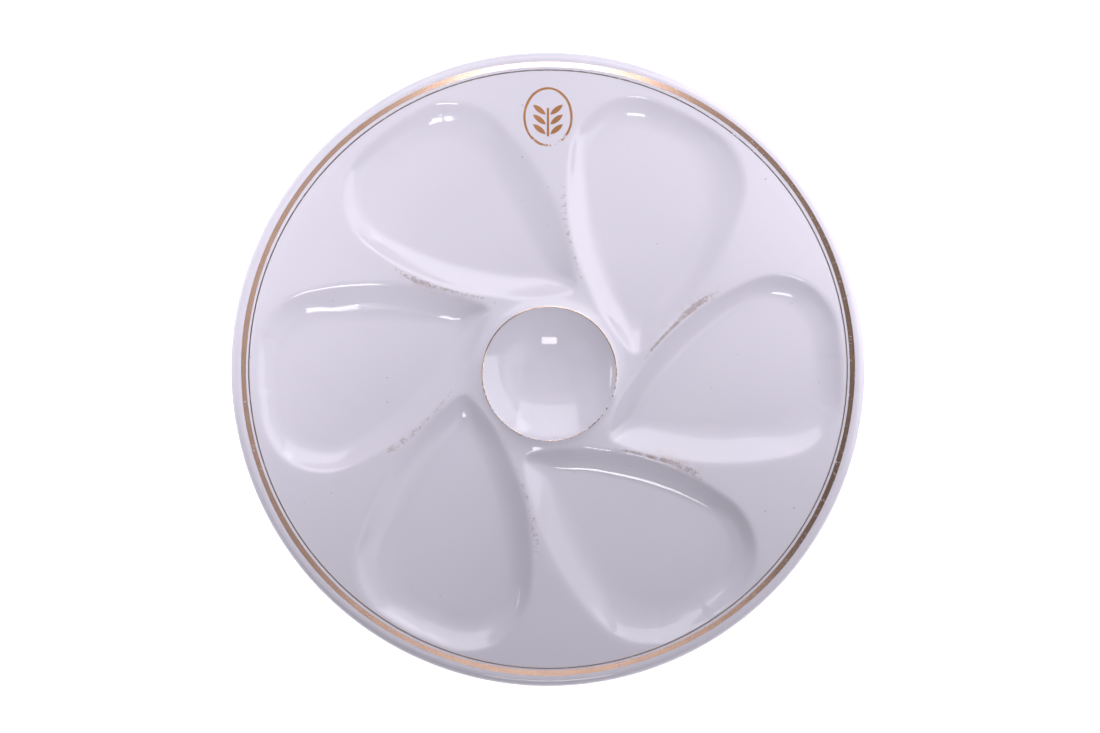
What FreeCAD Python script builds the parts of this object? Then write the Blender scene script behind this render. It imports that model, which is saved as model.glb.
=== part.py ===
import FreeCAD, Part
import math
import os
import Sketcher

"""Round glazed porcelain plate with six teardrop wells in a pinwheel round a central cup.

The plate stands on its foot ring: z = 0 is the foot's flat face, +Z is up, and +Y points
from the centre to the small gilt emblem on the rim. Blank, rim and foot are turned about
Z. The pressed relief (wells, cup and collar) shares an axis of its own, a little off Z,
because the mould and the rim of this plate don't run quite true to each other.
"""

V = FreeCAD.Vector
AXIS_UP = V(0, 0, 1)
WELL_COUNT = 6
START, END, CENTRE = 1, 2, 3    # the points of a sketch arc or line
ORIGIN_GEO = -1                 # a sketch's own origin, as a geometry index

# Driving dimensions in millimetres, angles in degrees, shares from 0 (crest) to 1 (floor).
SIZES = dict(
    rim_radius=127.0, roll_radius=3.0, roll_height=14.82, slope_angle=20.0, plateau=16.6,
    roll_under_angle=45.0, back_height=4.8, back_flat_radius=100.0,
    foot_inner=82.4, foot_outer=85.6, foot_root_inner=80.6, foot_root_outer=87.8,
    relief_offset_x=0.6, relief_offset_y=-1.7,
    lip_height=18.1, lip_inner=26.7, lip_outer=27.5, collar_radius=31.4, collar_curve=8.0,
    lip_core_radius=20.0, lip_root=13.6, bowl_depth=9.4, bowl_clearance=1.5,
    crest_rim_arc=117.0, crest_left_lobe=25.2, crest_right_lobe=25.2,
    crest_left_x=33.2, crest_right_x=52.8, crest_left_flank=96.0, crest_right_flank=107.0,
    crest_tip_x=34.7, crest_tip_y=11.2, crest_tip=3.0,
    floor_rim_arc=108.0, floor_left_lobe=18.9, floor_right_lobe=25.0,
    floor_left_x=32.9, floor_right_x=40.2, floor_left_flank=134.0, floor_right_flank=400.0,
    floor_tip_x=34.4, floor_tip_y=24.4, floor_tip=4.0,
    gilt_thickness=0.12, line_thickness=0.1,
    band_inner=120.95, band_outer=122.9, line_inner=119.35, line_outer=120.0,
    ring_inner=26.85, ring_outer=27.35,
    emblem_y=101.0, emblem_half_width=9.9, emblem_half_height=11.9, emblem_stroke=1.0,
    stem_width=0.9, stem_bottom=93.2, stem_top=104.6, leaf_length=6.4, leaf_width=2.1,
    leaf_angle=38.0, leaf_gap=0.9, leaf_step=3.9,
    trace_gap=1.0, trace_width=0.8, trace_start=40.0, trace_end=69.0,
)

# The well's sections from mouth to floor: share of the way from crest to floor outline,
# and depth below the plateau. The first lies above it, so that the cut is open.
WELL_SECTIONS = [(-0.08, -0.4), (0.10, 1.0), (0.30, 2.4), (0.55, 3.9), (0.80, 5.0),
                 (1.0, 5.45), (1.16, 5.6)]


class Size:
    """A number together with the spreadsheet expression that gives it."""

    def __init__(self, value, text):
        self.value = value
        self.text = text

    def _join(self, other, sign, value):
        text = other.text if isinstance(other, Size) else repr(other)
        return Size(value, "(%s %s %s)" % (self.text, sign, text))

    def __add__(self, other):
        return self._join(other, "+", self.value + number(other))

    def __sub__(self, other):
        return self._join(other, "-", self.value - number(other))

    def __mul__(self, other):
        return self._join(other, "*", self.value * number(other))

    def __truediv__(self, other):
        return self._join(other, "/", self.value / number(other))

    def __neg__(self):
        return Size(-self.value, "(-%s)" % self.text)


def number(value):
    return value.value if isinstance(value, Size) else value


def trig(name, angle):
    """sin, cos or tan of an angle in degrees."""
    value = getattr(math, name)(math.radians(angle.value))
    return Size(value, "%s(%s * 1 deg)" % (name, angle.text))


doc = FreeCAD.newDocument("oyster_plate")
sheet = doc.addObject("Spreadsheet::Sheet", "Sizes")
section_cells = {}
for index, (share, depth) in enumerate(WELL_SECTIONS):
    section_cells["share_%d" % index] = share
    section_cells["depth_%d" % index] = depth
for row, (alias, value) in enumerate(list(SIZES.items()) + list(section_cells.items()), 1):
    sheet.set("A%d" % row, alias)
    sheet.set("B%d" % row, str(value))
    sheet.setAlias("B%d" % row, alias)
doc.recompute()


def size(alias):
    value = SIZES[alias] if alias in SIZES else section_cells[alias]
    return Size(value, "Sizes.%s" % alias)


def plane(body, role):
    return next(item for item in body.Origin.OriginFeatures if item.Role == role)


def new_body(label):
    body = doc.addObject("PartDesign::Body", label)
    body.Label = label
    body.AllowCompound = True
    return body


def new_sketch(body, label, role, offset=None):
    """A sketch on one of the body's planes, moved by offset (x, y, z in its own axes)."""
    sketch = body.newObject("Sketcher::SketchObject", label)
    sketch.AttachmentSupport = (plane(body, role), [""])
    sketch.MapMode = "FlatFace"
    for axis, distance in zip("xyz", offset or ()):
        if isinstance(distance, Size):
            sketch.setExpression("AttachmentOffset.Base." + axis, distance.text)
    doc.recompute()
    return sketch


def bind(sketch, size_value, kind, *where):
    """A constraint whose value follows the spreadsheet."""
    index = sketch.addConstraint(Sketcher.Constraint(kind, *where, size_value.value))
    sketch.setExpression("Constraints[%d]" % index, size_value.text)


def place(sketch, geo, point, x, y):
    """Hold a point of the sketch at x, y from its origin; a plain 0 keeps it on the axis."""
    for kind, value, axis in (("DistanceX", x, -2), ("DistanceY", y, -1)):
        if isinstance(value, Size):
            bind(sketch, value, kind, ORIGIN_GEO, START, geo, point)
        else:
            sketch.addConstraint(Sketcher.Constraint("PointOnObject", geo, point, axis))


def arc_through(start, end, radius, turn_left):
    """The shorter arc from start to end; turn_left says on which side it bends."""
    chord = end - start
    half = chord.Length / 2
    left = V(-chord.y, chord.x, 0).normalize()
    side = 1 if turn_left else -1
    centre = (start + end) / 2 + left * (side * math.sqrt(radius ** 2 - half ** 2))
    angles = [math.atan2(point.y - centre.y, point.x - centre.x) for point in (start, end)]
    if not turn_left:
        angles.reverse()
    return Part.ArcOfCircle(Part.Circle(centre, AXIS_UP, radius), *angles)


def closed_outline(sketch, corners, arcs=None):
    """Lines and arcs round the corners; arcs maps an edge's index to (radius, turn_left)."""
    arcs = arcs or {}
    points = [V(number(x), number(y), 0) for x, y in corners]
    first = sketch.GeometryCount
    for index, start in enumerate(points):
        end = points[(index + 1) % len(points)]
        if index in arcs:
            radius, turn_left = arcs[index]
            sketch.addGeometry(arc_through(start, end, radius.value, turn_left))
        else:
            sketch.addGeometry(Part.LineSegment(start, end))
    ends = []
    for index in range(len(points)):
        reverse = index in arcs and not arcs[index][1]
        ends.append((END, START) if reverse else (START, END))
    for index, (x, y) in enumerate(corners):
        before = (index - 1) % len(points)
        sketch.addConstraint(Sketcher.Constraint(
            "Coincident", first + before, ends[before][1], first + index, ends[index][0]))
        place(sketch, first + index, ends[index][0], x, y)
    for index, (radius, _turn_left) in arcs.items():
        bind(sketch, radius, "Radius", first + index)


def revolve(body, sketch, label, kind="Revolution"):
    feature = body.newObject("PartDesign::" + kind, label)
    feature.Profile = sketch
    feature.ReferenceAxis = (sketch, ["V_Axis"])
    feature.Angle = 360
    doc.recompute()
    return feature


def pad(body, sketch, label, length):
    feature = body.newObject("PartDesign::Pad", label)
    feature.Profile = sketch
    feature.setExpression("Length", length.text)
    doc.recompute()
    return feature


def pattern(body, original, axis_sketch, label):
    """Repeat a feature six times round the relief's axis."""
    copies = body.newObject("PartDesign::PolarPattern", label)
    copies.Originals = [original]
    copies.Axis = (axis_sketch, ["N_Axis"])
    copies.Angle = 360
    copies.Occurrences = WELL_COUNT
    body.Tip = copies
    doc.recompute()
    return copies


# Points that several pieces share.
relief_x = size("relief_offset_x")
relief_y = size("relief_offset_y")
relief_flat = (relief_x, relief_y)              # offsets of a level sketch
relief_upright = (relief_x, 0, -relief_y)       # offsets of an upright one, which faces -Y
slope_angle = size("slope_angle")
slope_rise = trig("tan", slope_angle)
roll_x = size("rim_radius") - size("roll_radius")
slope_top_x = roll_x - size("roll_radius") * trig("sin", slope_angle)
slope_top_z = size("roll_height") + size("roll_radius") * trig("cos", slope_angle)
slope_foot_x = slope_top_x - (slope_top_z - size("plateau")) / slope_rise


def between(name, index):
    """A well dimension at one section, between its crest and its floor value."""
    crest, floor, share = size("crest_" + name), size("floor_" + name), size("share_%d" % index)
    if not name.endswith("flank"):
        return crest + (floor - crest) * share
    # The long flanks are blended by curvature, so that they straighten evenly.
    one = Size(1.0, "1")
    return one / (one / crest + (one / floor - one / crest) * share)


def tangent_centre(first, first_radius, second, second_radius, radius, side):
    """Centre of a circle that two smaller circles touch from inside."""
    reach_first = radius - first_radius
    reach_second = radius - second_radius
    span = second - first
    along = (reach_first ** 2 - reach_second ** 2 + span.Length ** 2) / (2 * span.Length)
    across = math.sqrt(reach_first ** 2 - along ** 2)
    unit = V(span).normalize()
    return first + unit * along + V(-unit.y, unit.x, 0) * (side * across)


def well_sketch(body, index):
    """One section of the well: a rim-side arc, two lobes, two flanks and a tip, tangent."""
    radii = [between(name, index) for name in
             ("rim_arc", "left_lobe", "left_flank", "tip", "right_flank", "right_lobe")]
    rim, left, left_flank, tip, right_flank, right = [radius.value for radius in radii]
    left_x, right_x = between("left_x", index), between("right_x", index)
    tip_x, tip_y = between("tip_x", index), between("tip_y", index)
    origin = V(0, 0, 0)
    left_at = V(left_x.value, math.sqrt((rim - left) ** 2 - left_x.value ** 2), 0)
    right_at = V(right_x.value, math.sqrt((rim - right) ** 2 - right_x.value ** 2), 0)
    tip_at = V(tip_x.value, tip_y.value, 0)
    left_flank_at = tangent_centre(left_at, left, tip_at, tip, left_flank, 1)
    right_flank_at = tangent_centre(right_at, right, tip_at, tip, right_flank, -1)
    centres = [origin, left_at, left_flank_at, tip_at, right_flank_at, right_at]

    # Two tangent arcs meet on the line through their centres.
    def touch(wide, narrow, narrow_radius):
        return narrow + (narrow - wide).normalize() * narrow_radius

    joints = [touch(origin, right_at, right), touch(origin, left_at, left),
              touch(left_flank_at, left_at, left), touch(left_flank_at, tip_at, tip),
              touch(right_flank_at, tip_at, tip), touch(right_flank_at, right_at, right)]
    z_offset = size("plateau") - size("depth_%d" % index)
    sketch = new_sketch(body, "well_section_%d" % index, "XY_Plane", relief_flat + (z_offset,))
    count = len(centres)
    for arc, centre in enumerate(centres):
        start, end = joints[arc], joints[(arc + 1) % count]
        angles = [math.atan2(point.y - centre.y, point.x - centre.x) for point in (start, end)]
        circle = Part.Circle(centre, AXIS_UP, radii[arc].value)
        sketch.addGeometry(Part.ArcOfCircle(circle, *angles))
    for arc in range(count):
        sketch.addConstraint(Sketcher.Constraint(
            "Tangent", arc, END, (arc + 1) % count, START))
    sketch.addConstraint(Sketcher.Constraint("Coincident", 0, CENTRE, ORIGIN_GEO, START))
    bind(sketch, left_x, "DistanceX", ORIGIN_GEO, START, 1, CENTRE)
    bind(sketch, right_x, "DistanceX", ORIGIN_GEO, START, 5, CENTRE)
    place(sketch, 3, CENTRE, tip_x, tip_y)
    for arc, radius in enumerate(radii):
        bind(sketch, radius, "Radius", arc)
    return sketch


def make_plate():
    """The fired body: turned blank with rolled rim and foot, cup, and six pressed wells."""
    body = new_body("plate_body")
    back, flat_end = size("back_height"), size("back_flat_radius")
    under = size("roll_under_angle")
    roll_radius, roll_height = size("roll_radius"), size("roll_height")
    under_x = roll_x + roll_radius * trig("sin", under)
    under_z = roll_height - roll_radius * trig("cos", under)
    run, rise = under_x - flat_end, under_z - back
    back_curve = (run * run + rise * rise) / (rise * 2)
    corners = [
        (0, back),
        (size("foot_root_inner"), back),
        (size("foot_inner"), 0),
        (size("foot_outer"), 0),
        (size("foot_root_outer"), back),
        (flat_end, back),
        (under_x, under_z),
        (slope_top_x, slope_top_z),
        (slope_foot_x, size("plateau")),
        (0, size("plateau")),
    ]
    blank_sketch = new_sketch(body, "blank_section", "XZ_Plane")
    closed_outline(blank_sketch, corners, {5: (back_curve, True), 6: (roll_radius, True)})
    revolve(body, blank_sketch, "turned_blank")

    core, root_z = size("lip_core_radius"), size("lip_root")
    lip_sketch = new_sketch(body, "lip_section", "XZ_Plane", relief_upright)
    closed_outline(lip_sketch, [
        (core, root_z),
        (size("collar_radius"), root_z),
        (size("collar_radius"), size("plateau")),
        (size("lip_outer"), size("lip_height")),
        (core, size("lip_height")),
    ], {2: (size("collar_curve"), False)})
    revolve(body, lip_sketch, "cup_lip")

    mouth, depth = size("lip_inner"), size("bowl_depth")
    bowl_radius = (mouth * mouth + depth * depth) / (depth * 2)
    above = size("lip_height") + size("bowl_clearance")
    bowl_sketch = new_sketch(body, "bowl_section", "XZ_Plane", relief_upright)
    closed_outline(bowl_sketch, [
        (0, size("lip_height") - depth),
        (mouth, size("lip_height")),
        (mouth, above),
        (0, above),
    ], {0: (bowl_radius, True)})
    revolve(body, bowl_sketch, "cup_bowl", "Groove")

    sections = [well_sketch(body, index) for index in range(len(WELL_SECTIONS))]
    well = body.newObject("PartDesign::SubtractiveLoft", "well")
    well.Profile = sections[0]
    well.Sections = sections[1:]
    body.Tip = well
    doc.recompute()
    pattern(body, well, sections[0], "six_wells")
    return body


def make_turned_gilding(label, corners, offset=None):
    """A ring of fired gold, turned about the rim's axis or, with an offset, the relief's."""
    body = new_body(label)
    sketch = new_sketch(body, label + "_section", "XZ_Plane", offset)
    closed_outline(sketch, corners)
    revolve(body, sketch, label + "_turned")
    return body


def make_rim_band():
    """The wide gold band on the rim's inner slope."""
    inner, outer, thick = size("band_inner"), size("band_outer"), size("gilt_thickness")
    inner_z = size("plateau") + (inner - slope_foot_x) * slope_rise
    outer_z = size("plateau") + (outer - slope_foot_x) * slope_rise
    shift_x = thick * trig("sin", slope_angle)
    shift_z = thick * trig("cos", slope_angle)
    return make_turned_gilding("rim_gilt_band", [
        (inner, inner_z),
        (outer, outer_z),
        (outer - shift_x, outer_z + shift_z),
        (inner - shift_x, inner_z + shift_z),
    ])


def make_flat_ring(label, inner, outer, base, offset=None):
    top = base + size("line_thickness")
    return make_turned_gilding(
        label, [(inner, base), (outer, base), (outer, top), (inner, top)], offset)


def level_sketch(body, label):
    return new_sketch(body, label, "XY_Plane", (0, 0, size("plateau")))


def add_ellipse(sketch, half_width, half_height):
    """A level ellipse round the emblem's centre, taller than wide."""
    centre = V(0, SIZES["emblem_y"], 0)
    major = centre + V(0, half_height.value, 0)
    minor = centre + V(half_width.value, 0, 0)
    geo = sketch.addGeometry(Part.Ellipse(major, minor, centre))
    sketch.exposeInternalGeometry(geo)
    place(sketch, geo, CENTRE, 0, size("emblem_y"))
    major_line, minor_line = geo + 1, geo + 2
    sketch.addConstraint(Sketcher.Constraint("Vertical", major_line))
    bind(sketch, half_height * 2, "Distance", major_line)
    bind(sketch, half_width * 2, "Distance", minor_line)


def make_emblem_frame():
    """The oval line round the emblem."""
    body = new_body("emblem_frame")
    sketch = level_sketch(body, "emblem_oval")
    wide, tall, stroke = (size("emblem_half_width"), size("emblem_half_height"),
                          size("emblem_stroke"))
    add_ellipse(sketch, wide, tall)
    add_ellipse(sketch, wide - stroke, tall - stroke)
    pad(body, sketch, "emblem_oval_film", size("line_thickness"))
    return body


def add_leaf(sketch, base_x, base_y, angle):
    """A pointed leaf of two equal arcs from its base along an angle from +X."""
    length, width = size("leaf_length"), size("leaf_width")
    curve = (length * length + width * width) / (width * 4)
    tip_x = base_x + length * trig("cos", angle)
    tip_y = base_y + length * trig("sin", angle)
    closed_outline(sketch, [(base_x, base_y), (tip_x, tip_y)],
                   {0: (curve, True), 1: (curve, True)})


def make_emblem_sprig():
    """The leaf sprig inside the oval: a stem, three pairs of leaves and a top leaf."""
    body = new_body("emblem_sprig")
    sketch = level_sketch(body, "sprig_outline")
    half = size("stem_width") / 2
    bottom, top = size("stem_bottom"), size("stem_top")
    closed_outline(sketch, [(-half, bottom), (half, bottom), (half, top), (-half, top)])
    gap, step, tilt = size("leaf_gap"), size("leaf_step"), size("leaf_angle")
    for pair in range(3):
        base_y = bottom + gap + step * float(pair)
        add_leaf(sketch, gap, base_y, tilt)
        add_leaf(sketch, -gap, base_y, -tilt + 180.0)
    pad(body, sketch, "sprig_film", size("line_thickness"))
    return body


def make_ridge_traces():
    """What wear has left of the gold lines on the ridges, along each well's left flank."""
    body = new_body("ridge_gilt_traces")
    sketch = new_sketch(body, "trace_outline", "XY_Plane", relief_flat + (size("plateau"),))
    lobe_x, lobe_radius = SIZES["crest_left_x"], SIZES["crest_left_lobe"]
    reach = SIZES["crest_rim_arc"] - lobe_radius
    lobe = V(lobe_x, math.sqrt(reach ** 2 - lobe_x ** 2), 0)
    tip = V(SIZES["crest_tip_x"], SIZES["crest_tip_y"], 0)
    flank = SIZES["crest_left_flank"]
    centre = tangent_centre(lobe, lobe_radius, tip, SIZES["crest_tip"], flank, 1)
    inner = flank + SIZES["trace_gap"]
    outer = inner + SIZES["trace_width"]

    # The trace is part of a ring round the flank's own centre, between two heights.
    def ray(height):
        across = math.sqrt(outer ** 2 - (height - centre.y) ** 2)
        return V(-across, height - centre.y, 0).normalize()

    high, low = ray(SIZES["trace_end"]), ray(SIZES["trace_start"])
    for radius in (outer, inner):
        sketch.addGeometry(arc_through(centre + high * radius, centre + low * radius, radius, True))
    sketch.addGeometry(Part.LineSegment(centre + low * outer, centre + low * inner))
    sketch.addGeometry(Part.LineSegment(centre + high * outer, centre + high * inner))
    for joint in ((0, END, 2, START), (2, END, 1, END), (0, START, 3, START), (3, END, 1, START)):
        sketch.addConstraint(Sketcher.Constraint("Coincident", *joint))
    for arc in (0, 1):
        sketch.addConstraint(Sketcher.Constraint("Block", arc))
    film = pad(body, sketch, "trace_film", size("line_thickness"))
    pattern(body, film, sketch, "six_traces")
    return body


pieces = [
    make_plate(),
    make_rim_band(),
    make_flat_ring("rim_gilt_line", size("line_inner"), size("line_outer"), size("plateau")),
    make_flat_ring("cup_gilt_ring", size("ring_inner"), size("ring_outer"),
                   size("lip_height"), relief_upright),
    make_emblem_frame(),
    make_emblem_sprig(),
    make_ridge_traces(),
]
doc.recompute()

for item in doc.Objects:
    if "Invalid" in item.State or "Error" in item.State:
        raise RuntimeError("%s failed: %s" % (item.Label, item.State))
for piece in pieces:
    if piece.Shape.isNull() or not piece.Shape.isValid():
        raise RuntimeError("%s has no valid shape" % piece.Label)

os.makedirs("parts", exist_ok=True)
for piece in pieces:
    shape = piece.Shape
    box = shape.BoundBox
    print("%-18s %9.2f mm3, %d solid(s), x %.2f..%.2f y %.2f..%.2f z %.2f..%.2f" % (
        piece.Label, shape.Volume, len(shape.Solids), box.XMin, box.XMax, box.YMin, box.YMax,
        box.ZMin, box.ZMax))
    shape.exportStep("parts/%s.step" % piece.Label)
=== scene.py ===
import math

import bpy
import numpy as np
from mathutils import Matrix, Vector


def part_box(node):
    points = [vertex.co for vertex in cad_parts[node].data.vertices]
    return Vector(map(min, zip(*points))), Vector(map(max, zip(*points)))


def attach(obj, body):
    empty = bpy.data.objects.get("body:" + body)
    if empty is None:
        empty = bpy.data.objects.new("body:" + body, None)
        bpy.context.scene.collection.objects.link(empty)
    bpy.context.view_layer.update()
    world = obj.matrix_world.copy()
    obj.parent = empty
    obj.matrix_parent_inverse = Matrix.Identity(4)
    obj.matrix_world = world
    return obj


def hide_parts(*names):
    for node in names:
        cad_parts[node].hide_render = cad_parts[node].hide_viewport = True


# The looks of a glazed porcelain plate: six teardrop wells round a cup, with worn gilding.

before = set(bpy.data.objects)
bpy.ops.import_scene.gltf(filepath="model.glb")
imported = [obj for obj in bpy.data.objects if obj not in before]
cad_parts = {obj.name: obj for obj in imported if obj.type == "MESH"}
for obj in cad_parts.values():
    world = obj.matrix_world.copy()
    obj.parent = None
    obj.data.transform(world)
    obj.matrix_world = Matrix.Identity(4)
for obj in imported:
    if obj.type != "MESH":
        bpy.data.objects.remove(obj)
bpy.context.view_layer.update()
node_box = {name: np.array(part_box(name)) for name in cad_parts}

MM = 0.001
WELLS = 6

# Sizes in millimetres that the frame gives directly.
RIM_RADIUS, _, LIP_HEIGHT = node_box["plate_body"][1] / MM
PLATEAU = node_box["rim_gilt_line"][0][2] / MM
LINE_OUTER = node_box["rim_gilt_line"][1][0] / MM
RELIEF = (node_box["cup_gilt_ring"][0] + node_box["cup_gilt_ring"][1])[:2] / 2 / MM
RING_OUTER = (node_box["cup_gilt_ring"][1] - node_box["cup_gilt_ring"][0])[0] / 2 / MM
EMBLEM_LOW, EMBLEM_HIGH = node_box["emblem_frame"] / MM

# The rest of the body's section. All but the collar and the dip are as in the CAD model.
ROLL_RADIUS = 3.0
ROLL_HEIGHT = 14.82
SLOPE_ANGLE = math.radians(20)
UNDER_ANGLE = math.radians(45)
BACK_HEIGHT = 4.8
BACK_FLAT_RADIUS = 100.0
FOOT = (80.6, 82.4, 85.6, 87.8)     # inner root, inner edge, outer edge, outer root
LIP_INNER = 26.7
BOWL_DEPTH = 9.4
COLLAR_RISE = 1.95
COLLAR_REACH = 3.6
DIP_DEPTH, DIP_RADIUS, DIP_WIDTH = 0.9, 34.0, 8.0     # where the ridges sink to the collar
LIP_ROUNDING = 0.25

# The gold: where the lines lie and how wide they are, how far gold stands over the glaze and
# reaches under it, and how far the ridge traces stand over it.
BAND_RADII = (120.95, 122.9)
BAND_WOBBLE = 0.32
LINE_INNER = 119.5
RING_RADII = (26.6, 27.12)
OVAL_STROKE = 0.95
GOLD_RISE, GOLD_SINK = 0.05, 0.08
TRACE_RISE = 0.03

# One well at its crest and at its floor, in the relief's own axes: rim-side arc, left lobe,
# left flank, tip, right flank and right lobe radii, lobe centres' x, and tip centre.
CREST = dict(radii=(117.0, 25.2, 96.0, 3.0, 107.0, 25.2), lobes=(33.2, 52.8), tip=(34.7, 11.2))
FLOOR = dict(radii=(108.0, 18.9, 134.0, 4.0, 400.0, 25.0), lobes=(32.9, 40.2), tip=(34.4, 24.4))
WELL_DEPTH = 5.6
# A well lies inside these limits of x and of y in its own axes.
WELL_X, WELL_Y = (3, 82), (3, 119)
# Where the wall starts to fall, is steepest, starts to ease, and ends in the floor, as shares
# of the way from the crest's outline to the floor's, and how the ease dies away.
WALL_START, WALL_FULL, WALL_EASE, WALL_END = -0.14, 0.10, 0.14, 1.38
EASE_POWER = 2.0

# Worn gold on the ridges, along each well's left flank: the heights it lies between in the
# well's own axes, its gap from the crest, its width and how much is left at some heights,
# and how strong it is on each well from the upper right one on, against the clock.
TRACE_SPAN = (36.0, 75.0)
TRACE_GAP = 0.5
TRACE_HEIGHTS = (36, 44, 55, 58, 64, 70, 75)
TRACE_WIDTHS = (1.0, 1.1, 1.3, 2.2, 2.6, 2.4, 1.6)
TRACE_LEFT = (0.1, 0.75, 0.8, 0.7, 0.8, 0.55, 0.0)
TRACE_STRENGTHS = (0.14, 0.66, 0.36, 0.18, 0.90, 1.0)


def blend(low, high, share):
    return low + (high - low) * share


def smoothstep(low, high, value):
    step = np.clip((value - low) / (high - low), 0.0, 1.0)
    return step * step * (3 - 2 * step)


def smooth_min(first, second, width):
    """The lower of two heights, with their crossing rounded over a width."""
    mix = np.clip(0.5 + (second - first) / (2 * width), 0.0, 1.0)
    return second * (1 - mix) + first * mix - width * mix * (1 - mix)


# ---------------------------------------------------------------- the wells' shape

def tangent_centre(first, first_radius, second, second_radius, radius, side):
    """Centre of a circle that two smaller circles touch from inside."""
    span = second - first
    length = np.hypot(*span)
    reach = radius - first_radius, radius - second_radius
    along = (reach[0] ** 2 - reach[1] ** 2 + length ** 2) / (2 * length)
    across = math.sqrt(reach[0] ** 2 - along ** 2)
    unit = span / length
    return first + unit * along + np.array([-unit[1], unit[0]]) * side * across


def well_outline(share):
    """The teardrop's six tangent arcs at a share of the way from crest to floor."""
    radii = [blend(a, b, share) for a, b in zip(CREST["radii"], FLOOR["radii"])]
    for index in (2, 4):        # the long flanks are blended by curvature
        radii[index] = 1 / blend(1 / CREST["radii"][index], 1 / FLOOR["radii"][index], share)
    left_x, right_x = [blend(a, b, share) for a, b in zip(CREST["lobes"], FLOOR["lobes"])]
    tip_at = np.array([blend(a, b, share) for a, b in zip(CREST["tip"], FLOOR["tip"])])
    rim, left, left_flank, tip, right_flank, right = radii
    left_at = np.array([left_x, math.sqrt((rim - left) ** 2 - left_x ** 2)])
    right_at = np.array([right_x, math.sqrt((rim - right) ** 2 - right_x ** 2)])
    centres = [
        np.zeros(2), left_at,
        tangent_centre(left_at, left, tip_at, tip, left_flank, 1), tip_at,
        tangent_centre(right_at, right, tip_at, tip, right_flank, -1), right_at,
    ]
    joints = []
    for index, centre in enumerate(centres):
        before = centres[index - 1]
        wide, small = (before, index) if radii[index - 1] > radii[index] else (centre, index - 1)
        away = centres[small] - wide
        joints.append(centres[small] + away / np.hypot(*away) * radii[small])
    return centres, radii, joints


def outline_distance(points, share):
    """Signed distance from the outline, negative inside the well."""
    centres, radii, joints = well_outline(share)
    distance = np.full(len(points), -np.inf)
    for index, centre in enumerate(centres):
        start = joints[index] - centre
        end = joints[(index + 1) % len(centres)] - centre
        away = points - centre
        after_start = start[0] * away[:, 1] - start[1] * away[:, 0] >= -1e-9
        before_end = away[:, 0] * end[1] - away[:, 1] * end[0] >= -1e-9
        ray = np.hypot(away[:, 0], away[:, 1]) - radii[index]
        distance = np.where(after_start & before_end, np.maximum(distance, ray), distance)
    return distance


def well_share(points, low=-0.35, high=1.4):
    """How far down the wall each point lies: 0 on the crest's outline, 1 on the floor's."""
    grid = np.linspace(low, high, 71)
    table = np.array([outline_distance(points, share) for share in grid])
    inside = table <= 0
    count = inside.sum(axis=0)
    index = np.clip(count - 1, 0, len(grid) - 2)
    here = table[index, np.arange(len(points))]
    after = table[index + 1, np.arange(len(points))]
    part = np.clip(here / np.where(here == after, 1, here - after), 0, 1)
    share = grid[index] + part * (grid[1] - grid[0])
    return np.where(count == 0, grid[0], np.where(count == len(grid), grid[-1], share))


def wall_depth(share):
    """Depth below the plateau: an eased start, a straight wall and a long ease to the floor."""
    rise, straight, ease = WALL_FULL - WALL_START, WALL_EASE - WALL_FULL, WALL_END - WALL_EASE
    slope = WELL_DEPTH / (rise / 2 + straight + ease / EASE_POWER)
    first = np.clip(share - WALL_START, 0, rise)
    second = np.clip(share - WALL_FULL, 0, straight)
    left = 1 - np.clip(share - WALL_EASE, 0, ease) / ease
    third = ease / EASE_POWER * (1 - left ** EASE_POWER)
    return slope * (first ** 2 / (2 * rise) + second + third)


def turned(points, angle):
    cos, sin = math.cos(angle), math.sin(angle)
    return np.stack([points[:, 0] * cos - points[:, 1] * sin,
                     points[:, 0] * sin + points[:, 1] * cos], axis=1)


def wells_depth(points):
    """Depth of all six wells at points in the relief's axes."""
    depth = np.zeros(len(points))
    for index in range(WELLS):
        local = turned(points, -index * math.tau / WELLS)
        near = (local[:, 0] > WELL_X[0]) & (local[:, 0] < WELL_X[1])
        near &= (local[:, 1] > WELL_Y[0]) & (local[:, 1] < WELL_Y[1])
        if near.any():
            depth[near] += wall_depth(well_share(local[near]))
    return depth


def cup_height(radius):
    """The cup's bowl, its rounded lip and the collar that falls away to the wells."""
    bowl_radius = (LIP_INNER ** 2 + BOWL_DEPTH ** 2) / (2 * BOWL_DEPTH)
    bowl = LIP_HEIGHT - BOWL_DEPTH + bowl_radius - np.sqrt(
        np.clip(bowl_radius ** 2 - radius ** 2, 1, None))
    dip = DIP_DEPTH * np.exp(-((radius - DIP_RADIUS) / DIP_WIDTH) ** 2)
    collar = PLATEAU - dip + COLLAR_RISE * np.exp(-(radius - RING_OUTER + 0.35) / COLLAR_REACH)
    return smooth_min(bowl, np.minimum(collar, LIP_HEIGHT + 3), LIP_ROUNDING)


def top_height(points):
    """Height of the glaze at points in the rim's axes, anywhere inside the rim's slope."""
    relief = points - RELIEF
    radius = np.hypot(relief[:, 0], relief[:, 1])
    return cup_height(radius) - wells_depth(relief)


# ---------------------------------------------------------------- meshes

def mesh_object(name, verts, faces, smooth=True):
    mesh = bpy.data.meshes.new(name)
    mesh.from_pydata([tuple(v) for v in np.asarray(verts) * MM], [], faces)
    mesh.polygons.foreach_set("use_smooth", [smooth] * len(mesh.polygons))
    mesh.update()
    piece = bpy.data.objects.new(name, mesh)
    bpy.context.scene.collection.objects.link(piece)
    return piece


def ring_faces(first, second, count):
    """Quads between two rings of vertices, the second ring outside or below the first."""
    after = [(i + 1) % count for i in range(count)]
    return [(first + i, second + i, second + after[i], first + after[i]) for i in range(count)]


SEGMENTS = 600


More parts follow.
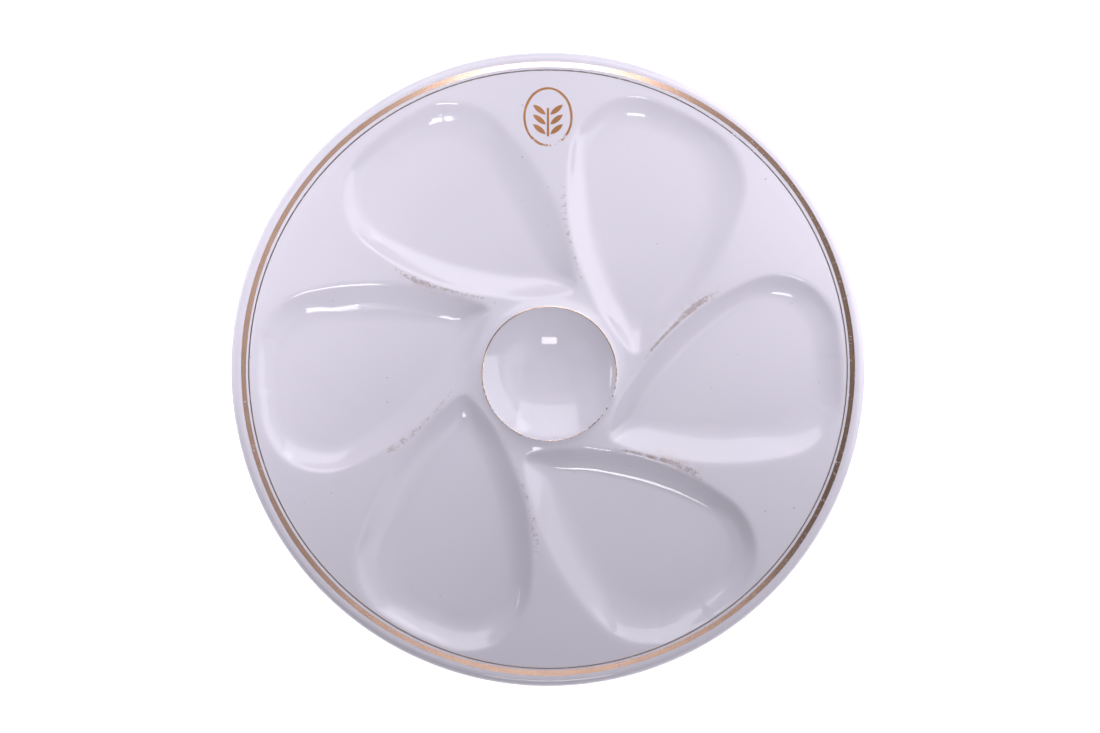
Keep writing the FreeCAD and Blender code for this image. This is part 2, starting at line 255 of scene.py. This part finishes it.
def ring_radii():
    """Ring radii of the top, closer together at the lip."""
    return np.concatenate([
        np.linspace(1.5, 24.5, 16), np.linspace(25.3, 26.1, 2), np.linspace(26.35, 27.6, 9),
        np.linspace(28.0, 31.0, 6), np.linspace(31.9, 118.9, 88)])


def rim_profile():
    """The rim from the plateau's edge up the slope, round the roll and under it."""
    roll_x = RIM_RADIUS - ROLL_RADIUS
    top = roll_x - ROLL_RADIUS * math.sin(SLOPE_ANGLE), ROLL_HEIGHT + ROLL_RADIUS * math.cos(
        SLOPE_ANGLE)
    foot_x = top[0] - (top[1] - PLATEAU) / math.tan(SLOPE_ANGLE)
    ease = 0.55
    points = [(foot_x - ease, PLATEAU), (foot_x - ease / 3, PLATEAU + 0.03),
              (foot_x + ease / 3, PLATEAU + 0.03 + ease * 0.45 * math.tan(SLOPE_ANGLE)),
              (foot_x + ease, PLATEAU + ease * math.tan(SLOPE_ANGLE))]
    for step in (0.35, 0.65, 0.9):
        points.append((blend(foot_x + ease, top[0], step), blend(points[3][1], top[1], step)))
    for angle in np.linspace(math.pi / 2 + SLOPE_ANGLE, UNDER_ANGLE - math.pi / 2, 14):
        points.append((roll_x + ROLL_RADIUS * math.cos(angle),
                       ROLL_HEIGHT + ROLL_RADIUS * math.sin(angle)))
    return points


def back_profile(start):
    """The back from under the roll to the centre, with the foot ring's eased edges."""
    run, rise = start[0] - BACK_FLAT_RADIUS, start[1] - BACK_HEIGHT
    curve = (run ** 2 + rise ** 2) / (2 * rise)
    points = []
    for share in np.linspace(0.9, 0, 10):
        x = run * share
        points.append((BACK_FLAT_RADIUS + x, BACK_HEIGHT + curve - math.sqrt(curve ** 2 - x ** 2)))
    root_in, edge_in, edge_out, root_out = FOOT
    # Each side of the foot: steps outwards from its root or edge, and the height there.
    root = ((1.2, BACK_HEIGHT), (0.5, BACK_HEIGHT - 0.15), (0.0, BACK_HEIGHT - 0.6))
    edge = ((0.6, 0.9), (0.25, 0.25), (-0.2, 0.0))
    points.append((94, BACK_HEIGHT))
    points += [(root_out + step, height) for step, height in root]
    points += [(edge_out + step, height) for step, height in edge]
    points += [(edge_in - step, height) for step, height in reversed(edge)]
    points += [(root_in - step, height) for step, height in reversed(root)]
    points += [(radius, BACK_HEIGHT) for radius in (72, 60, 45, 30, 15, 4)]
    return points


def make_body():
    """The whole fired body as one closed mesh on a polar grid."""
    angles = np.arange(SEGMENTS) * math.tau / SEGMENTS
    directions = np.stack([np.cos(angles), np.sin(angles)], axis=1)
    verts, faces = [], []
    # The grid is centred on the relief inside and on the rim outside.
    for radius in ring_radii():
        centre = RELIEF * (1 - smoothstep(70, 117, radius))
        ring = centre + directions * radius
        verts.append(np.column_stack([ring, top_height(ring)]))
    rim = rim_profile()
    for radius, height in rim + back_profile(rim[-1]):
        verts.append(np.column_stack([directions * radius, np.full(SEGMENTS, height)]))
    rings = len(verts)
    verts = np.concatenate(verts)
    for index in range(rings - 1):
        faces += ring_faces(index * SEGMENTS, (index + 1) * SEGMENTS, SEGMENTS)
    top, bottom = len(verts), len(verts) + 1
    last = (rings - 1) * SEGMENTS
    middle = np.array([[*RELIEF, LIP_HEIGHT - BOWL_DEPTH], [0, 0, BACK_HEIGHT]])
    for i in range(SEGMENTS):
        after = (i + 1) % SEGMENTS
        faces.append((top, i, after))
        faces.append((bottom, last + after, last + i))
    return mesh_object("porcelain_body", np.concatenate([verts, middle]), faces)


def ring_film(name, radii, height, centre=(0, 0), wobble=0.0):
    """A thin closed ring of gold that follows the glaze: height gives z from the radius."""
    count = 720
    angles = np.arange(count) * math.tau / count
    directions = np.stack([np.cos(angles), np.sin(angles)], axis=1)
    # Banded by hand on a wheel, so the line strays a little in place and in width.
    stray = wobble * (0.6 * np.sin(angles) - 0.5 * np.cos(4 * angles))
    swell = 1 + wobble * (0.14 * np.sin(7 * angles) + 0.10 * np.sin(17 * angles + 1))
    middle = (radii[0] + radii[-1]) / 2
    loop = [(radii[0], -GOLD_SINK)]
    loop += [(radius, GOLD_RISE) for radius in radii]
    loop += [(radii[-1], -GOLD_SINK)]
    verts, faces = [], []
    for radius, lift in loop:
        away = middle + (radius - middle) * swell + stray
        verts.append(np.column_stack([directions * away[:, None] + centre, height(away) + lift]))
    for index in range(len(loop)):
        faces += ring_faces(index * count, ((index + 1) % len(loop)) * count, count)
    return mesh_object(name, np.concatenate(verts), faces, smooth=False)


def slope_height(radius):
    """Height of the rim's inner slope."""
    roll_x = RIM_RADIUS - ROLL_RADIUS
    top_x = roll_x - ROLL_RADIUS * math.sin(SLOPE_ANGLE)
    top_z = ROLL_HEIGHT + ROLL_RADIUS * math.cos(SLOPE_ANGLE)
    return top_z + (radius - top_x) * math.tan(SLOPE_ANGLE)


def oval_film(name, centre, half, stroke):
    """The flat oval line on the plateau, drawn a little unevenly."""
    count = 240
    angles = np.arange(count) * math.tau / count
    directions = np.stack([np.cos(angles), np.sin(angles)], axis=1)
    uneven = 0.06 * np.sin(3 * angles + 0.5) + 0.05 * np.sin(8 * angles)
    outer = centre + directions * half
    inner = centre + directions * (half - (stroke + uneven)[:, None])
    verts, faces = [], []
    loop = ((inner, -GOLD_SINK), (inner, GOLD_RISE), (outer, GOLD_RISE), (outer, -GOLD_SINK))
    for line, lift in loop:
        verts.append(np.column_stack([line, np.full(count, PLATEAU + lift)]))
    for index in range(len(loop)):
        faces += ring_faces(index * count, (index + 1) % len(loop) * count, count)
    return mesh_object(name, np.concatenate(verts), faces, smooth=False)


def flank_rows(count):
    """Points along the crest's left flank, from the tip outwards, and their outward normals."""
    centres, radii, _joints = well_outline(0.0)
    centre, radius = centres[2], radii[2]
    heights = np.linspace(*TRACE_SPAN, count)
    across = -np.sqrt(radius ** 2 - (heights - centre[1]) ** 2)
    normals = np.column_stack([across, heights - centre[1]]) / radius
    return centre + normals * radius, normals, heights


def make_traces():
    """Strips over the ridges that hold what wear has left of their gold lines."""
    rows, columns = 60, 7
    line, normals, heights = flank_rows(rows)
    width = np.interp(heights, TRACE_HEIGHTS, TRACE_WIDTHS)
    sides = np.linspace(0, 1, columns)
    verts, faces, wear = [], [], []
    for well, strength in enumerate(TRACE_STRENGTHS):
        reach = TRACE_GAP + width[:, None] * sides
        local = line[:, None] + normals[:, None] * reach[..., None]
        plan = turned(local.reshape(-1, 2), well * math.tau / WELLS) + RELIEF
        level = top_height(plan)
        left = np.interp(heights, TRACE_HEIGHTS, TRACE_LEFT) * strength
        soft = np.minimum(1, 3.2 * sides * (1 - sides))
        first = sum(len(block) for block in verts)
        for lift in (TRACE_RISE, -GOLD_SINK):
            verts.append(np.column_stack([plan, level + lift]))
            wear.append((1 - left[:, None] * (0.45 + 0.55 * soft)).ravel())
        faces += grid_faces(first, rows, columns)
    piece = mesh_object("gilt_ridge_traces", np.concatenate(verts), faces, smooth=False)
    store(piece, "wear", np.concatenate(wear))
    return piece


def grid_faces(first, rows, columns):
    """A closed slab from two grids of vertices, the upper one first."""
    below = first + rows * columns

    def at(base, row, column):
        return base + row * columns + column

    faces = []
    for row in range(rows - 1):
        for column in range(columns - 1):
            corners = [(row, column), (row + 1, column), (row + 1, column + 1), (row, column + 1)]
            faces.append(tuple(at(below, *corner) for corner in corners))
            faces.append(tuple(at(first, *corner) for corner in reversed(corners)))
    border = [(row, 0) for row in range(rows)]
    border += [(rows - 1, column) for column in range(1, columns)]
    border += [(row, columns - 1) for row in range(rows - 2, -1, -1)]
    border += [(0, column) for column in range(columns - 2, 0, -1)]
    for here, after in zip(border, border[1:] + border[:1]):
        faces.append((at(first, *here), at(first, *after), at(below, *after), at(below, *here)))
    return faces


def store(piece, name, values):
    """Keep one number for each vertex, for the material to read."""
    layer = piece.data.attributes.new(name, "FLOAT", "POINT")
    layer.data.foreach_set("value", np.asarray(values, dtype=np.float32))


def points_of(piece):
    flat = np.empty(len(piece.data.vertices) * 3)
    piece.data.vertices.foreach_get("co", flat)
    return flat.reshape(-1, 3) / MM


def store_wear(piece, degrees, wear, centre=(0, 0)):
    """Wear that changes round a ring: values at angles from +X."""
    away = points_of(piece)[:, :2] - centre
    angles = np.degrees(np.arctan2(away[:, 1], away[:, 0]))
    store(piece, "wear", np.interp(angles, degrees, wear, period=360))


def store_stain(piece):
    """A faint stain in the glaze beside the worn gold of each ridge."""
    points = points_of(piece)
    stain = np.zeros(len(points))
    for well, strength in enumerate(TRACE_STRENGTHS):
        local = turned(points[:, :2] - RELIEF, -well * math.tau / WELLS)
        near = (local[:, 1] > 30) & (local[:, 1] < 90) & (local[:, 0] > 0) & (local[:, 0] < 40)
        near &= points[:, 2] > BACK_HEIGHT + 3
        beside = outline_distance(local[near], 0.0)
        along = np.exp(-((local[near, 1] - 60) / 14) ** 2)
        stain[near] += strength * along * np.exp(-((beside - 2.4) / 2.6) ** 2)
    store(piece, "stain", np.clip(stain, 0, 1))


# ---------------------------------------------------------------- materials

GLAZE = (0.795, 0.766, 0.856, 1)
GLAZE_COOL = (0.778, 0.750, 0.846, 1)


def new_material(name):
    material = bpy.data.materials.new(name)
    material.use_nodes = True
    tree = material.node_tree
    return material, tree, tree.nodes["Principled BSDF"]


def node(tree, kind, inputs=None, **settings):
    """A shader node with its settings, and its inputs linked or set."""
    item = tree.nodes.new(kind)
    for key, value in settings.items():
        setattr(item, key, value)
    for key, value in (inputs or {}).items():
        if isinstance(value, bpy.types.NodeSocket):
            tree.links.new(value, item.inputs[key])
        else:
            item.inputs[key].default_value = value
    return item


def link(tree, shader, **sources):
    for name, source in sources.items():
        tree.links.new(source, shader.inputs[name.replace("_", " ")])


def object_place(tree):
    return node(tree, "ShaderNodeTexCoord").outputs["Object"]


def noise(tree, place, scale, detail=2.0):
    """Noise of a scale in cells per metre."""
    settings = {"Vector": place, "Scale": scale, "Detail": detail}
    return node(tree, "ShaderNodeTexNoise", settings).outputs["Fac"]


def remap(tree, value, low, high, to_low=0.0, to_high=1.0):
    settings = {"Value": value, "From Min": low, "From Max": high,
                "To Min": to_low, "To Max": to_high}
    return node(tree, "ShaderNodeMapRange", settings).outputs["Result"]


def compute(tree, operation, first, second):
    return node(tree, "ShaderNodeMath", {0: first, 1: second}, operation=operation).outputs[0]


def mix_color(tree, factor, first, second):
    """Colour nodes mix: the factor brings in the second colour."""
    return node(tree, "ShaderNodeMix", {0: factor, 6: first, 7: second},
                data_type="RGBA").outputs[2]


def stored(tree, name):
    return node(tree, "ShaderNodeAttribute", attribute_name=name).outputs["Fac"]


def make_porcelain():
    """Cool white glaze with ripple, pinholes, faint stains, scuffs and a bare foot face."""
    material, tree, shader = new_material("glazed porcelain")
    place = object_place(tree)
    tone = remap(tree, noise(tree, place, 24.0), 0.3, 0.7)
    color = mix_color(tree, tone, GLAZE_COOL, GLAZE)
    # Faint stains, warm and patchy, beside the ridges.
    patch = remap(tree, noise(tree, place, 210.0, 4.0), 0.42, 0.66, 0.0, 0.42)
    stain = compute(tree, "MULTIPLY", patch, stored(tree, "stain"))
    color = mix_color(tree, stain, color, (0.60, 0.47, 0.46, 1))
    # Pinholes and iron specks: a few cells hold one dark dot each.
    cells = node(tree, "ShaderNodeTexVoronoi", {"Vector": place, "Scale": 92.0},
                 voronoi_dimensions="2D")
    chosen = node(tree, "ShaderNodeSeparateColor", {"Color": cells.outputs["Color"]})
    rare = compute(tree, "LESS_THAN", chosen.outputs["Red"], 0.07)
    dot_size = remap(tree, chosen.outputs["Green"], 0.0, 1.0, 0.012, 0.027)
    close = compute(tree, "LESS_THAN", cells.outputs["Distance"], dot_size)
    speck = compute(tree, "MULTIPLY", rare, close)
    color = mix_color(tree, compute(tree, "MULTIPLY", speck, 0.6), color, (0.22, 0.17, 0.16, 1))
    # The foot's face is bare, fired clay.
    height = node(tree, "ShaderNodeSeparateXYZ", {"Vector": place}).outputs["Z"]
    bare = remap(tree, height, 0.00012, 0.0005, 1.0, 0.0)
    color = mix_color(tree, bare, color, (0.64, 0.60, 0.53, 1))
    # Scuffs: long thin streaks that dull the gloss.
    slant = node(tree, "ShaderNodeMapping", {
        "Vector": place, "Rotation": (0, 0, 0.7), "Scale": (22.0, 900.0, 22.0)})
    streak = remap(tree, noise(tree, slant.outputs["Vector"], 1.0, 3.0), 0.66, 0.74, 0.0, 0.10)
    gloss = remap(tree, noise(tree, place, 14.0), 0.35, 0.65, 0.025, 0.055)
    rough = compute(tree, "ADD", gloss, streak)
    rough = compute(tree, "MAXIMUM", rough, compute(tree, "MULTIPLY", bare, 0.7))
    ripple = node(tree, "ShaderNodeBump", {
        "Height": noise(tree, place, 75.0, 1.0), "Strength": 0.5, "Distance": 0.00012})
    pits = node(tree, "ShaderNodeBump", {
        "Height": speck, "Strength": 0.6, "Distance": 0.0001, "Normal": ripple.outputs["Normal"]},
        invert=True)
    link(tree, shader, Base_Color=color, Roughness=rough, Normal=pits.outputs["Normal"])
    shader.inputs["IOR"].default_value = 1.5
    return material


def make_gold(name, bright, dull, roughness, grain_scale=900.0, metal=1.0, edge=(-0.10, 0.04)):
    """Fired gold, rubbed through to the glaze where the stored wear is high.

    The edge is the range over which glaze turns to gold: a wide one gives soft smears.
    """
    material, tree, shader = new_material(name)
    place = object_place(tree)
    coarse = noise(tree, place, grain_scale, 3.0)
    fine = noise(tree, place, grain_scale * 3.7, 2.0)
    grain = compute(tree, "ADD", compute(tree, "MULTIPLY", coarse, 0.6),
                    compute(tree, "MULTIPLY", fine, 0.4))
    spread = remap(tree, grain, 0.34, 0.66)
    rubbed = remap(tree, noise(tree, place, 190.0), 0.62, 0.74, 0.0, 0.30)
    lost = compute(tree, "ADD", stored(tree, "wear"), rubbed)
    kept = remap(tree, compute(tree, "SUBTRACT", spread, lost), *edge)
    tarnish = remap(tree, noise(tree, place, 130.0), 0.35, 0.65)
    gold = mix_color(tree, tarnish, bright, dull)
    link(tree, shader, Base_Color=mix_color(tree, kept, GLAZE, gold),
         Metallic=compute(tree, "MULTIPLY", kept, metal),
         Roughness=remap(tree, kept, 0.0, 1.0, 0.06, roughness))
    return material


# ---------------------------------------------------------------- building

def finish_piece(piece, replaced, material):
    piece.data.materials.append(material)
    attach(piece, "root")
    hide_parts(replaced)


body = make_body()
store_stain(body)
finish_piece(body, "plate_body", make_porcelain())

rim_gold = make_gold("rim gilding", (0.82, 0.56, 0.43, 1), (0.76, 0.51, 0.39, 1), 0.22)
ring_gold = make_gold("cup gilding", (0.66, 0.50, 0.40, 1), (0.50, 0.37, 0.31, 1), 0.26)
# The fine line's gold is made much darker than the other gold. This is painted shade that stands
# in for the dark the flat metal line mirrors.
line_gold_painted_dark = make_gold("fine line gilding painted dark", (0.34, 0.25, 0.22, 1), (0.26, 0.20, 0.19, 1), 0.3)
emblem_gold = make_gold("emblem gilding", (0.80, 0.40, 0.19, 1), (0.68, 0.33, 0.15, 1), 0.34)
trace_gold = make_gold("worn ridge gilding", (0.44, 0.33, 0.29, 1), (0.34, 0.26, 0.25, 1), 0.4,
                       420.0, 0.2, (-0.42, 0.62))

band = ring_film("gilt_band", np.linspace(*BAND_RADII, 5), slope_height, wobble=BAND_WOBBLE)
store_wear(band, (0, 40, 75, 105, 180, 240, 270, 300, 330),
           (0.12, 0.10, 0.0, 0.0, 0.02, 0.10, 0.06, 0.14, 0.14))
finish_piece(band, "rim_gilt_band", rim_gold)

line = ring_film("gilt_line", np.linspace(LINE_INNER, LINE_OUTER, 3),
                 lambda radius: np.full(len(radius), PLATEAU))
store_wear(line, (0, 60, 120, 200, 260, 320), (0.15, 0.30, 0.20, 0.10, 0.15, 0.10))
finish_piece(line, "rim_gilt_line", line_gold_painted_dark)

ring = ring_film("gilt_cup_ring", np.linspace(*RING_RADII, 5), cup_height, centre=RELIEF)
store_wear(ring, (0, 60, 105, 160, 200, 240, 300, 340),
           (0.30, 0.10, 0.05, 0.12, 0.40, 0.60, 0.50, 0.80), RELIEF)
finish_piece(ring, "cup_gilt_ring", ring_gold)

emblem_centre = (EMBLEM_LOW[:2] + EMBLEM_HIGH[:2]) / 2
emblem_half = (EMBLEM_HIGH[:2] - EMBLEM_LOW[:2]) / 2
oval = oval_film("gilt_oval", emblem_centre, emblem_half, OVAL_STROKE)
store_wear(oval, (0, 90, 180, 255, 285, 320), (0.08, 0.05, 0.10, 0.35, 0.75, 0.30), emblem_centre)
finish_piece(oval, "emblem_frame", emblem_gold)

finish_piece(make_traces(), "ridge_gilt_traces", trace_gold)

# The sprig keeps its CAD shape.
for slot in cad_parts["emblem_sprig"].material_slots:
    slot.material = emblem_gold


# ---------------------------------------------------------------- floor, camera, lights

def make_floor():
    """A pale floor that reads white, a hair below the foot so that the two don't coincide."""
    below_foot = 0.0002
    bpy.ops.mesh.primitive_plane_add(size=6.0, location=(0, 0, -below_foot))
    floor = bpy.context.object
    floor.name = "floor"
    material, tree, shader = new_material("pale floor")
    shader.inputs["Base Color"].default_value = (0.9, 0.9, 0.9, 1)
    shader.inputs["Roughness"].default_value = 0.8
    shader.inputs["Emission Color"].default_value = (1, 1, 1, 1)
    shader.inputs["Emission Strength"].default_value = 0.6
    floor.data.materials.append(material)


def make_camera():
    """A long lens straight above the plate, a little off its centre."""
    view_width = 0.4409         # metres across the picture at the rim
    aside = (0.0008, 0.0011)
    data = bpy.data.cameras.new("camera")
    data.lens = 90.0
    data.sensor_width = 36.0
    camera = bpy.data.objects.new("camera", data)
    distance = view_width * data.lens / data.sensor_width
    camera.location = (*aside, ROLL_HEIGHT * MM + distance)
    bpy.context.scene.collection.objects.link(camera)
    bpy.context.scene.camera = camera


LIGHT_TINT = (0.975, 0.955, 1.0)


def panel(name, place, size, power, aim=(0, 0, 0), mirrored=True, lights=True):
    """A soft panel that faces a point. It may only light, or only show as a reflection."""
    data = bpy.data.lights.new(name, "AREA")
    data.shape = "RECTANGLE"
    data.size, data.size_y = size
    data.energy = power
    data.color = LIGHT_TINT
    light = bpy.data.objects.new(name, data)
    light.location = place
    light.rotation_euler = (Vector(aim) - Vector(place)).to_track_quat("-Z", "Y").to_euler()
    light.visible_glossy = mirrored
    light.visible_diffuse = lights
    light.visible_camera = False
    bpy.context.scene.collection.objects.link(light)


def around(azimuth, elevation, distance=1.0):
    """A place round the plate; azimuth 0 is +X and 90 is +Y."""
    turn, lift = math.radians(azimuth), math.radians(elevation)
    return Vector((math.cos(turn) * math.cos(lift), math.sin(turn) * math.cos(lift),
                   math.sin(lift))) * distance


make_floor()
make_camera()
# Boxes that light the plate and also show in the glaze and the gold.
panel("right_box", (0.36, 0.10, 0.22), (0.50, 0.36), 0.50)
panel("left_box", (-0.36, 0.10, 0.19), (0.50, 0.30), 0.11)
panel("back_box", (0, 0.60, 0.46), (0.87, 0.92), 1.65)
panel("overhead", (0, 0, 1.3), (0.90, 0.90), 0.82)
panel("front_right_box", around(322, 52), (0.50, 0.40), 0.42)
panel("front_left_box", around(225, 50), (0.40, 0.40), 0.20)
panel("lamp", around(270, 55, 1.2), (0.30, 0.16), 1.5)
# Cards that only show as reflections on the walls of the wells and in the gold.
panel("back_card", around(87, 39, 0.75), (0.82, 0.50), 2.9, lights=False)
panel("right_card", around(25, 24, 0.5), (0.80, 0.28), 1.6, lights=False)
panel("left_card", around(188, 50), (1.10, 0.40), 0.55, lights=False)
panel("far_right_card", around(2, 52), (1.15, 0.40), 0.95, lights=False)
panel("left_strip", (-0.50, 0.02, 0.22), (0.16, 0.025), 0.08, lights=False)
panel("lamp_card", around(270, 55, 1.2), (0.30, 0.16), 3.2, lights=False)
# Even light, mostly from close by, that only lights.
for name, place, size, power in (
        ("left_even", (-0.19, 0.08, 0.165), (0.10, 0.20), 0.20),
        ("right_even", (0.17, 0.12, 0.115), (0.06, 0.20), 0.095),
        ("near_even", (0.10, 0.15, 0.265), (0.20, 0.20), 0.11),
        ("high_even", (0, 0.12, 0.165), (0.20, 0.10), 0.045)):
    panel(name, place, size, power, aim=(place[0], place[1], 0), mirrored=False)
panel("front_even", around(300, 12), (0.60, 0.26), 1.55, mirrored=False)
panel("back_even", (0, 0.50, 0.15), (0.90, 0.28), 0.35, mirrored=False)
world = bpy.data.worlds.new("world")
world.use_nodes = True
world.node_tree.nodes["Background"].inputs["Color"].default_value = (0.9, 0.9, 1.0, 1)
world.node_tree.nodes["Background"].inputs["Strength"].default_value = 0.03
bpy.context.scene.world = world
bpy.context.scene.view_settings.view_transform = "Standard"
